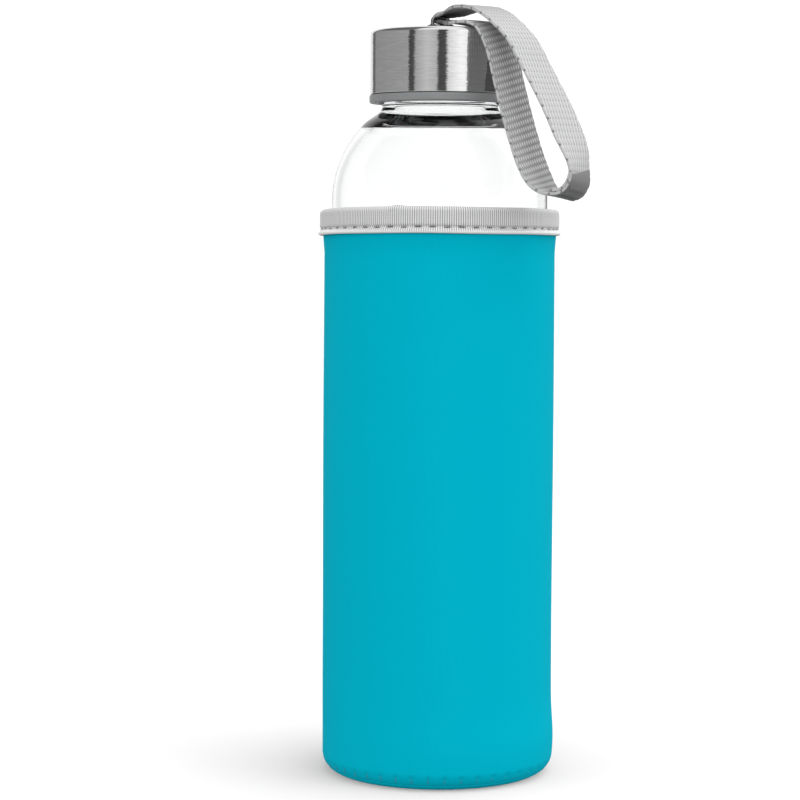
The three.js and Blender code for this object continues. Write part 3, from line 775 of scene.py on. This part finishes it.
def bar_shade(along, side):
    """How much painted shade darkens the crumpled webbing beside the bar and the top of the upper ply's
    outer face, from 0 to 1.
    """
    x = strap_line.at(along)[..., 0]
    near_bar, upper_top_shade = 1 - smoothstep(x, 4.0, 15.0), 1 - smoothstep(x, 10.0, 34.0)
    lower, upper = along < strap_line.fold - 2.0, along > strap_line.fold
    return np.where(lower, 0.88 * near_bar, np.where(side > 0, 0.45 * upper_top_shade * upper, 0.80 * near_bar))


def strap_webbing():
    """Thick woven band: two faces of floats, with rounded, notched selvedges."""
    columns, edge_columns = 84, 6
    rows = int(strap_line.length / 0.24)
    edge_depth = 0.035
    half_thickness = WEBBING_THICKNESS / 2 - 0.12
    face = np.linspace(-1, 1, columns) * (1 - edge_depth)
    rim = np.radians(np.linspace(-60, 60, edge_columns))
    half_across = np.concatenate([face, 1 - edge_depth + edge_depth * np.cos(rim)])
    half_level = np.concatenate([np.ones(columns), -np.sin(rim)])
    section = np.concatenate([half_across, -half_across])
    level = np.concatenate([half_level, -half_level])
    is_face = np.concatenate([np.ones(columns), np.zeros(edge_columns)] * 2)[None, :] > 0
    along, across = np.meshgrid(np.linspace(0, strap_line.length, rows), section, indexing="ij")
    side = np.repeat(level[None, :], rows, 0)
    # the outer ply is cut a little askew
    along = along + (3.5 - 1.6 * across) * (1 - smoothstep(along, 0, 9))
    # the rows of the face inside the loop run askew
    across_mm = across * WEBBING_WIDTH / 2
    long_floats, short_floats = weave_relief(along - (side < 0) * ROW_SKEW * across_mm, across_mm)
    relief = np.where(is_face, np.where(side > 0, long_floats, short_floats), 0.55)
    # the lower turn is pressed flat and smooth, outside the loop only; it is also painted dark there, as
    # painted shade where the turn faces down
    pressed = (1 - smoothstep(along, 15.0, 19.0)) * (side > 0)
    notch = bell(np.mod(along + NOTCH_PITCH / 2, NOTCH_PITCH) - NOTCH_PITCH / 2, 0.35)
    narrowing = 1 - 0.035 * notch - 0.008 * (1 - np.sin(math.pi * np.mod(along / WEAVE_ROW, 1)))
    thinned = 0.45 + 0.55 * smoothstep(along, 3.0, 8.0)
    proud = side * (half_thickness + 0.17 * relief * (1 - 0.9 * pressed)) * thinned
    vertices = strap_line.place(along, across * narrowing, proud)
    count = len(section)
    faces = grid_faces(rows, count, wrap_columns=True)
    faces += [list(range(count)), list(range((rows - 1) * count, rows * count))[::-1]]
    made = mesh_object("strap_band", vertices.reshape(-1, 3), faces, webbing)
    # painted light: the face inside the loop is painted lighter towards its near edge
    near_edge_light = smoothstep(-across, -0.3, 0.8)
    woven = np.where(side > 0, 0.22 + 0.38 * long_floats, 0.22 + 0.48 * short_floats + 0.15 * near_edge_light)
    # painted shade: the lower turn, which faces down, is painted dark
    woven = woven + (0.20 - woven) * pressed
    # painted shade beside the bar and at the top of the upper ply darkens the yarn
    lightness = np.where(is_face, woven, 0.56 - 0.40 * notch) * (1 - bar_shade(along, side))
    # the yarn's own tone, with the painted shade and painted light worked out above
    yarn_tone_with_painted_light = made.data.attributes.new("yarn_tone_with_painted_light", "FLOAT", "POINT")
    yarn_tone_with_painted_light.data.foreach_set("value", np.clip(lightness, 0, 1).ravel())
    face_outwards(made)
    return made


def strap_tack():
    """Rows of zigzag that hold the strap's lapped ends together."""
    outer = WEBBING_THICKNESS / 2 + 0.22
    first, row_pitch, row_depth = 9.0, 2.4, 1.4
    points, per_swing = 81, 4
    across = np.linspace(-0.76, 0.76, points)
    swing = np.abs(np.arange(points) / per_swing % 2 - 1)
    starts = [first + row * row_pitch for row in range(3)]
    rows = [strap_line.place(start + row_depth * swing, across, outer) for start in starts]
    return tubes("strap_tack", rows, 0.14, pale_thread, sides=6)


# ---------------------------------------- sleeve

BASE_STITCHES = 44
RIM_STITCHES = 53


def from_front(angle):
    """The angle round the sleeve from the side that faces the camera, from -pi to pi."""
    return np.mod(angle - FRONT + math.pi, TAU) - math.pi


def rim_sway(angle):
    """The binding is sewn on a little unevenly, higher towards the front."""
    return 0.85 * np.cos(from_front(angle) - 0.05) + ripple(angle, 3.0, (3, 0.08), (7, 0.04))


def rim_kink(angle, z):
    """One small peak in the binding's top edge."""
    return 0.40 * bell(from_front(angle) + 0.36, 0.05) * smoothstep(z, STITCH_HEIGHT + 1, BINDING_TOP)


def pucker(angle, z):
    """Depth of the dimples that the base seam's stitches pull into the foam."""
    phase = np.mod(angle * BASE_STITCHES / TAU, 1.0) - 0.5
    hole = bell(phase, 0.11) * bell(z - 4.0, 0.55)
    pull = bell(phase, 0.30) * bell(z - 2.6, 2.2)
    return 0.34 * hole + 0.16 * pull


def sleeve_shape(r, z, angle):
    """The foam's soft unevenness: it swells near the foot and follows the binding at the top."""
    outside = r > SLEEVE_RADIUS - FOAM / 2 - 1.2
    swell = (0.30 + 0.34 * np.sin(angle - FRONT)) * bell(z - 11.0, 8.0)
    wave = ripple(angle + z * 0.004, 4.0, (2, 0.10), (3, 0.07), (5, 0.04))
    slow = 0.05 * np.sin(z / 17.0 + angle * 2)
    r = r + np.where(outside, swell + wave * smoothstep(z, 4, 40) + slow - pucker(angle, z), 0)
    return r, z + rim_sway(angle) * smoothstep(z, FOAM_TOP - 22, FOAM_TOP - 6)


def sleeve_wall():
    """Foam tube, thinner where the binding squeezes it, turning in under the bottom corner."""
    corner_r = SLEEVE_RADIUS - SLEEVE_CORNER
    inner = SLEEVE_RADIUS - FOAM
    seam = -42.0
    collar = BINDING_RADIUS - 1.05
    squeezed = collar - 1.6
    start = BINDING_BOTTOM - 1
    profile = arc(corner_r, SLEEVE_CORNER, SLEEVE_CORNER, seam, 0, 14)
    profile += line((SLEEVE_RADIUS, SLEEVE_CORNER), (SLEEVE_RADIUS, start - 4), 70)
    profile += line((SLEEVE_RADIUS, start - 4), (SLEEVE_RADIUS + 0.3, start), 6)
    profile += line((SLEEVE_RADIUS + 0.3, start), (collar, start + 1), 2)
    profile += line((collar, start + 1), (collar, FOAM_TOP), 6)
    profile += line((collar, FOAM_TOP), (squeezed, FOAM_TOP), 2)
    profile += line((squeezed, FOAM_TOP), (squeezed, start + 2), 4)
    profile += line((squeezed, start + 2), (inner, start - 4), 4)
    profile += line((inner, start - 4), (inner, SLEEVE_CORNER), 20)
    profile += arc(corner_r, SLEEVE_CORNER, SLEEVE_CORNER - FOAM, 0, seam, 6)
    return revolve("foam_wall", profile, BASE_STITCHES * 12, knit, sleeve_shape, closed=True)


def sleeve_base():
    """Round foam base that curves up to the seam."""
    corner_r = SLEEVE_RADIUS - SLEEVE_CORNER
    seam = -43.0
    profile = [(0, 0.25)] + line((0, 0.25), (corner_r - 3, 0.12), 12) + [(corner_r - 1.4, 0.03)]
    profile += arc(corner_r, SLEEVE_CORNER, SLEEVE_CORNER, -90, seam, 8)
    profile += arc(corner_r, SLEEVE_CORNER, SLEEVE_CORNER - FOAM, seam, -90, 5)
    profile += line((corner_r, FOAM), (0, FOAM), 8)
    return revolve("foam_base", profile, BASE_STITCHES * 12, knit, sleeve_shape)


def rim_binding():
    """Ribbed tape folded over the rim. A row of stitches sinks into it above a pale lip."""
    outer, inner = BINDING_RADIUS - 0.1, GLASS_RADIUS + 0.4
    top, low = BINDING_TOP, BINDING_BOTTOM
    lip = 0.75
    crown = top - 1.3
    hidden = top - 6.2  # where the tape ends inside the sleeve
    profile = arc(outer - 0.32, low + lip, lip, -80, 62, 9)
    profile += [(outer - 0.32, STITCH_HEIGHT)]
    profile += arc(outer - 0.75, STITCH_HEIGHT + 1.0, 0.75, -60, 0, 5)
    profile += line((outer, STITCH_HEIGHT + 1.0), (outer - 0.05, crown), 12)
    profile += arc(outer - 1.35, crown, 1.3, 0, 90, 7)
    profile += line((outer - 1.35, top), (inner + 0.6, top), 3)
    profile += arc(inner + 0.6, top - 0.6, 0.6, 90, 180, 5)[1:]
    profile += line((inner, top - 0.6), (inner, hidden), 8)
    profile += line((inner, hidden), (inner + 0.45, hidden), 1)
    profile += line((inner + 0.45, hidden), (inner + 0.45, top - 0.65), 4)
    profile += line((inner + 0.45, top - 0.65), (outer - 0.7, top - 0.7), 2)
    profile += line((outer - 0.7, top - 0.7), (outer - 0.7, low + 0.2), 6)
    middle = (outer + inner) / 2

    def shape(r, z, angle):
        outward = np.where(r > middle, 1.0, -1.0)
        skin = (r > outer - 0.62) | (r < inner + 0.2) | (z > top - 0.62)
        rib = np.where(skin, 0.12 * (np.abs(np.sin(angle * RIB_COUNT / 2)) ** 0.7 - 0.6), 0)
        phase = np.mod(angle * RIM_STITCHES / TAU, 1.0) - 0.5
        sink = 0.30 * np.exp(-((phase / 0.24) ** 4)) * bell(z - STITCH_HEIGHT, 0.55)
        moved = rib * outward * smoothstep(top - z, 0.0, 1.0) - np.where(r > middle, sink, 0)
        raised = rib * (1 - smoothstep(top - z, 0.0, 0.8)) + rim_sway(angle) + rim_kink(angle, z)
        return r + moved + ripple(angle, 5.0, (4, 0.05), (11, 0.03)), z + raised

    return revolve("rim_tape", profile, RIB_COUNT * 5, tape, shape, closed=True)


def rim_stitches():
    """Stitches of uneven length and tilt, which sink into the tape at their ends."""
    chance = np.random.default_rng(7)
    paths = []
    for i in range(RIM_STITCHES):
        centre = (i + 0.5) * TAU / RIM_STITCHES
        reach = chance.uniform(0.20, 0.34) * TAU / RIM_STITCHES
        lift, tilt = chance.uniform(-0.12, 0.12), chance.uniform(-0.10, 0.10)
        s = np.linspace(-1, 1, 9)
        angle = centre + s * reach
        r = BINDING_RADIUS - 0.42 - 0.45 * s**4
        height = STITCH_HEIGHT + lift + tilt * s + rim_sway(angle)
        paths.append(np.stack([r * np.cos(angle), r * np.sin(angle), height], -1))
    return tubes("rim_stitches", paths, 0.15, grey_thread, sides=8)


def base_stitches():
    """Short stitches that dive into the foam along the base seam."""
    paths = []
    for i in range(BASE_STITCHES):
        s = np.linspace(-1, 1, 7)
        tilt = np.radians(-17.5 - 11.0 * (s + 1))
        reach = SLEEVE_CORNER - 0.10 - 0.35 * s**2
        angle = (i + 0.5) * TAU / BASE_STITCHES + 0.004 * s
        r = SLEEVE_RADIUS - SLEEVE_CORNER + reach * np.cos(tilt)
        height = SLEEVE_CORNER + reach * np.sin(tilt)
        paths.append(np.stack([r * np.cos(angle), r * np.sin(angle), height], -1))
    return tubes("base_stitches", paths, 0.17, blue_thread, sides=6)


def side_stitches():
    """Flat zigzag over the sleeve's upright seam, at the back."""
    low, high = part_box("side_seam_thread")
    centre = math.atan2((low.y + high.y) / 2, (low.x + high.x) / 2)
    bottom, top = low.z / MM, high.z / MM
    pitch, half_width = 2.2, 1.5
    steps = int((top - bottom) / pitch * 8)
    i = np.arange(steps + 1)
    z = bottom + (top - bottom) * i / steps
    swing = (np.abs(i / 4 % 2 - 1) - 0.5) * 2
    r = SLEEVE_RADIUS + 0.12 + 0.28 * bell(z - 10.0, 6.0) - 0.1 * np.abs(swing) ** 6
    angle = centre + swing * half_width / SLEEVE_RADIUS
    zigzag = np.stack([r * np.cos(angle), r * np.sin(angle), z], -1)
    return tubes("side_stitches", [zigzag], 0.2, blue_thread, sides=6)


# ---------------------------------------- build and ride


def stand_in(made, node, body):
    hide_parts(node)
    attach(made, body)
    return made


stand_in(glass_bottle(), "glass_bottle", "bottle")
stand_in(cap_shell(), "cap_shell", "cap")
stand_in(cap_insert(), "cap_insert", "cap")
stand_in(washer(), "backing_washer", "cap")
stand_in(gasket(), "seal_gasket", "gasket")
for part in (eye_boss(), eye_bail(), eye_welds()):
    stand_in(part, "strap_eye", "eye")
band = stand_in(strap_webbing(), "strap_webbing", "strap")
tack = stand_in(strap_tack(), "strap_tack_thread", "strap")
wall = stand_in(sleeve_wall(), "sleeve_wall", "sleeve")
base = stand_in(sleeve_base(), "sleeve_base", "sleeve")
for piece in (wall, base):
    piece.visible_diffuse = False  # the floor's shadow stays neutral
stand_in(rim_binding(), "rim_binding", "sleeve")
stand_in(rim_stitches(), "rim_stitch_thread", "sleeve")
stand_in(base_stitches(), "base_seam_thread", "sleeve")
stand_in(side_stitches(), "side_seam_thread", "sleeve")

# ---------------------------------------- floor, light and camera


def floor_material():
    n = Surface("pale_floor", Roughness=0.9, Specular_IOR_Level=0.0)
    cloud = n.noise(n.coordinates, 3.0)
    n.set("Base Color", n.mix(n.spread(cloud, 0.3, 0.7), grey(0.90), grey(0.93)))
    return n.material


def make_floor():
    reach = 30000.0
    corners = [(-reach, -reach, 0), (reach, -reach, 0), (reach, reach, 0), (-reach, reach, 0)]
    made = mesh_object("floor", corners, [[0, 1, 2, 3]], floor_material(), smooth=False)
    made.visible_diffuse = False
    made.visible_glossy = False


# (degrees to the right of the line from the bottle to the camera, brightness) of the studio:
# what polished pieces mirror from the sides, and from above, and what the glass shows behind it
SIDE_BANDS = [
    (-180, 0.6), (-172, 0.95), (-150, 0.9), (-143, 0.13), (-136, 0.15), (-132, 0.31), (-53.5, 0.37),
    (-52, 0.06), (-44, 0.07), (-41, 0.42), (-22, 0.62), (-6, 0.52), (-3, 0.06), (9, 0.07), (12.5, 0.80),
    (34, 1.16), (53, 1.0), (56, 0.16), (66, 0.14), (70, 0.06), (100, 0.06), (112, 0.2), (126, 0.75),
    (142, 0.5), (154, 0.9), (164, 0.35), (180, 0.6),
]
UPPER_BANDS = [(-180, 1.0), (-150, 0.8), (-140, 0.12), (-50, 0.15), (-38, 1.0), (180, 1.0)]
BACKDROP = [(-180, 1.0), (-160, 1.0), (-138, 0.78), (138, 0.78), (160, 1.0), (180, 1.0)]


def turn_ramp(n, share, bands):
    """The colour of a ramp over a full turn, from (degrees, brightness) pairs."""
    node = n.add("ValToRGB", {"Fac": share})
    points = node.color_ramp.elements
    while len(points) < len(bands):
        points.new(0.5)
    for point, (degrees, value) in zip(points, bands):
        point.position = (degrees + 180) / 360
        point.color = grey(value)
    return node.outputs["Color"]


def make_world():
    """White studio all round, with grey flats that give the polished pieces their upright bands."""
    world = bpy.data.worlds.new("studio")
    bpy.context.scene.world = world
    world.use_nodes = True
    world.node_tree.nodes.clear()
    n = Nodes(world.node_tree)
    turned = n.add("VectorRotate", {"Angle": -FRONT}, rotation_type="Z_AXIS")
    n.feed(turned.inputs["Vector"], n.add("TexCoord").outputs["Generated"])
    x, y, z = n.split(turned.outputs[0])
    share = n.spread(n.math("ARCTAN2", y, x), -math.pi, math.pi)
    rays = n.add("LightPath").outputs

    overhead = n.spread(z, 0.38, 0.52)
    lit = n.mix(overhead, turn_ramp(n, share, SIDE_BANDS), turn_ramp(n, share, UPPER_BANDS))
    mirrored = n.add("Background", {"Color": n.mix(n.spread(z, 0.02, -0.20, 0.0, 0.6), lit, grey(0.9))})
    behind = n.mix(rays["Is Transmission Ray"], grey(1.0), turn_ramp(n, share, BACKDROP))
    plain = n.add("Background", {"Color": behind, "Strength": 1.12})
    soft = n.add("Background", {"Strength": n.spread(z, -0.35, 0.25, 0.40, 0.90)})

    # rays bent by the glass count as glossy too, and they should see the plain backdrop
    glossy_only = n.math("SUBTRACT", rays["Is Glossy Ray"], rays["Is Transmission Ray"], clamp=True)
    by_gloss = n.add("MixShader", {0: glossy_only, 1: plain.outputs[0], 2: mirrored.outputs[0]})
    by_diffuse = n.add("MixShader", {0: rays["Is Diffuse Ray"], 1: by_gloss.outputs[0], 2: soft.outputs[0]})
    n.add("OutputWorld", {"Surface": by_diffuse.outputs[0]})


def lamp(name, kind, azimuth, elevation, strength, **settings):
    """A soft light that looks at the middle of the bottle, placed by its angle from the camera's side."""
    angle, rise = FRONT + math.radians(azimuth), math.radians(elevation)
    target, distance = Vector((0, 0, 0.11)), 1.6
    out = Vector((math.cos(angle) * math.cos(rise), math.sin(angle) * math.cos(rise), math.sin(rise)))
    data = bpy.data.lights.new(name, kind)
    data.energy = strength
    for key, value in settings.items():
        setattr(data, key, value)
    made = bpy.data.objects.new(name, data)
    made.location = target + out * distance
    made.rotation_mode = "QUATERNION"
    made.rotation_quaternion = (-out).to_track_quat("-Z", "Y")
    made.visible_glossy = False
    made.visible_transmission = False
    made.visible_camera = False
    bpy.context.collection.objects.link(made)


def make_camera():
    """Long lens just under the height of the sleeve's rim, looking a little down."""
    distance, height = 0.760, 0.1666
    pitch, roll, yaw = math.radians(4.0), math.radians(0.28), math.radians(0.88229)
    heading = VIEW_AZIMUTH + yaw
    level = Vector((-math.sin(heading), math.cos(heading), 0))
    forward = level * math.cos(pitch) + Vector((0, 0, -math.sin(pitch)))
    right = Vector((math.cos(heading), math.sin(heading), 0))
    up = right.cross(forward)
    rolled_right = right * math.cos(roll) + up * math.sin(roll)
    rolled_up = up * math.cos(roll) - right * math.sin(roll)
    data = bpy.data.cameras.new("camera")
    data.lens = 112.5
    data.sensor_width = 36.0
    data.clip_start, data.clip_end = 0.05, 100.0
    camera = bpy.data.objects.new("camera", data)
    bpy.context.collection.objects.link(camera)
    matrix = Matrix((rolled_right, rolled_up, -forward)).transposed().to_4x4()
    matrix.translation = (math.sin(VIEW_AZIMUTH) * distance, -math.cos(VIEW_AZIMUTH) * distance, height)
    camera.matrix_world = matrix
    bpy.context.scene.camera = camera


make_floor()
make_world()
lamp("overhead", "SUN", 80, 72, 1.42, angle=math.radians(60))
lamp("front", "AREA", 4, 14, 5.2, size=1.0)
lamp("left", "AREA", -62, 12, 5.4, size=1.0)
lamp("right", "AREA", 66, 12, 5.4, size=1.0)
make_camera()
bpy.context.scene.view_settings.view_transform = "Standard"
